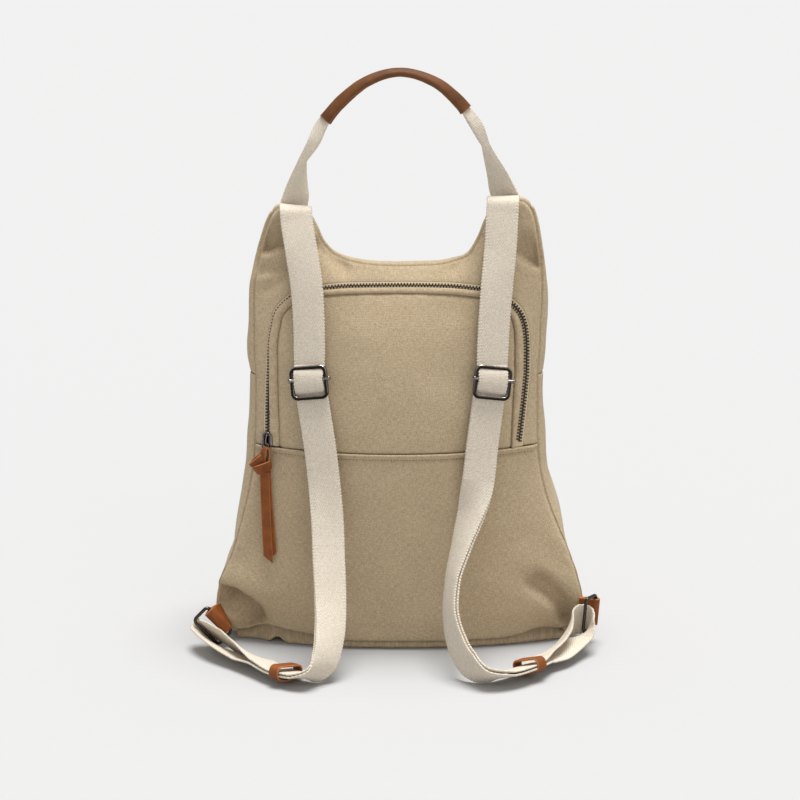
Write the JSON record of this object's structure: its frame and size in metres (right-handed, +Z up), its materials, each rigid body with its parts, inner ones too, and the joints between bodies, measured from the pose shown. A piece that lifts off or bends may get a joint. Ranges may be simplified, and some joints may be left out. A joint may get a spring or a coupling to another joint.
{
  "type": "canvas backpack",
  "caption": "Soft canvas backpack opened by a U-shaped zip on the side worn against the back, with webbing shoulder straps, a leather-wrapped top handle and a knotted leather zip pull.",
  "frame": {"origin": "middle of the flat base on the floor", "axes": "+Z up, -Y towards the viewer of the zipped back, +X to the viewer's right"},
  "size_m": [0.3277, 0.2376, 0.4638],
  "materials": {
    "canvas": "matt khaki cotton canvas with a fine twill",
    "webbing": "matt natural cotton webbing with a close rib",
    "leather": "smooth tan leather, slightly waxed",
    "gunmetal": "polished dark gunmetal plating"
  },
  "bodies": {
    "root": {"front_panel": "canvas", "back_panel_lower": "canvas", "back_panel_surround": "canvas", "back_flap": "canvas", "flap_binding": "canvas", "base_panel": "canvas", "top_band": "canvas", "side_gusset_lower_left": "canvas", "side_gusset_lower_right": "canvas", "side_gusset_upper_left": "canvas", "side_gusset_upper_right": "canvas", "shoulder_strap_left": "webbing", "shoulder_strap_right": "webbing", "handle_webbing": "webbing", "ring_tab_left": "leather", "ring_tab_right": "leather", "strap_keeper_left": "leather", "strap_keeper_right": "leather", "handle_wrap": "leather", "zip_pull": "leather", "strap_slider_left": "gunmetal", "strap_slider_right": "gunmetal", "slider_bar_left": "gunmetal", "slider_bar_right": "gunmetal", "strap_ring_left": "gunmetal", "strap_ring_right": "gunmetal", "zip_slider": "gunmetal", "zip_chain": "gunmetal"}
  },
  "joints": []
}
